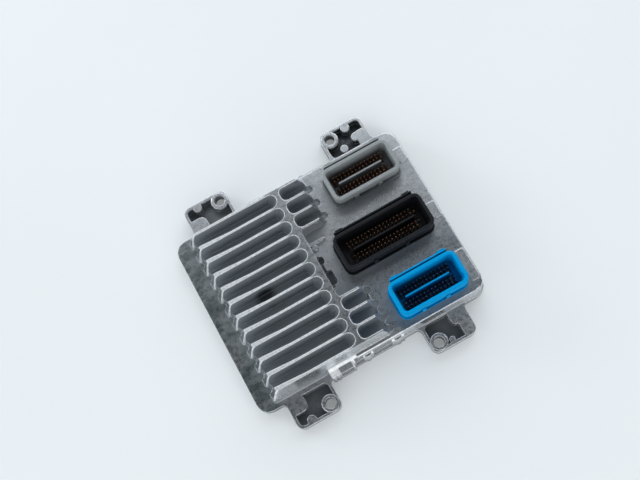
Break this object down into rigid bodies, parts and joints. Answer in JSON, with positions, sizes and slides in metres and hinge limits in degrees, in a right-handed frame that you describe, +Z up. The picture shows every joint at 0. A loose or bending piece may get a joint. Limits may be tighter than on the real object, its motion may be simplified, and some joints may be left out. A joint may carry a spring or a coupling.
{
  "type": "electronic control unit",
  "caption": "Flat die-cast control unit with cooling fins over half its top, multi-pin headers on the other half and bolt-down ears.",
  "frame": {"origin": "under the middle of the unit, in the plane of the ears' undersides", "axes": "+X runs along the fins from their feet to the headers, +Y across the fins towards the far ears, +Z up out of the headers"},
  "size_m": [0.159, 0.1604, 0.031],
  "materials": {
    "cast_housing": "as cast",
    "cover_plate": "rolled sheet",
    "zinc_screws": "zinc plated",
    "seal_rubber": "matt",
    "circuit_board": "solder resist",
    "pins_and_carrier": "matt",
    "grey_shroud": "satin",
    "black_shroud": "satin",
    "blue_shroud": "satin",
    "chip_mould": "matt",
    "thermal_pad": "matt",
    "ferrite": "matt",
    "can_metal": "satin"
  },
  "bodies": {
    "root": {"base_cover": "cover_plate", "board_screw_1": "zinc_screws", "board_screw_2": "zinc_screws", "board_screw_3": "zinc_screws", "board_screw_4": "zinc_screws", "board_screw_5": "zinc_screws", "board_screw_6": "zinc_screws", "capacitor_1": "can_metal", "capacitor_2": "can_metal", "capacitor_3": "can_metal", "capacitor_4": "can_metal", "circuit_board": "circuit_board", "cover_screw_1": "zinc_screws", "cover_screw_2": "zinc_screws", "cover_screw_3": "zinc_screws", "cover_screw_4": "zinc_screws", "cover_screw_5": "zinc_screws", "cover_screw_6": "zinc_screws", "cover_screw_7": "zinc_screws", "cover_screw_8": "zinc_screws", "crystal": "can_metal", "flash_memory": "chip_mould", "header_black": "black_shroud", "header_blue": "blue_shroud", "header_grey": "grey_shroud", "header_seal_black": "seal_rubber", "header_seal_blue": "seal_rubber", "header_seal_grey": "seal_rubber", "housing": "cast_housing", "ignition_driver": "chip_mould", "inductor_1": "ferrite", "inductor_2": "ferrite", "injector_driver_1": "chip_mould", "injector_driver_2": "chip_mould", "microcontroller": "chip_mould", "perimeter_seal": "seal_rubber", "pin_block_black": "pins_and_carrier", "pin_block_blue": "pins_and_carrier", "pin_block_grey": "pins_and_carrier", "thermal_pad_1": "thermal_pad", "thermal_pad_2": "thermal_pad", "thermal_pad_3": "thermal_pad", "thermal_pad_4": "thermal_pad", "thermal_pad_5": "thermal_pad", "throttle_driver": "chip_mould", "voltage_regulator": "chip_mould"}
  },
  "joints": []
}
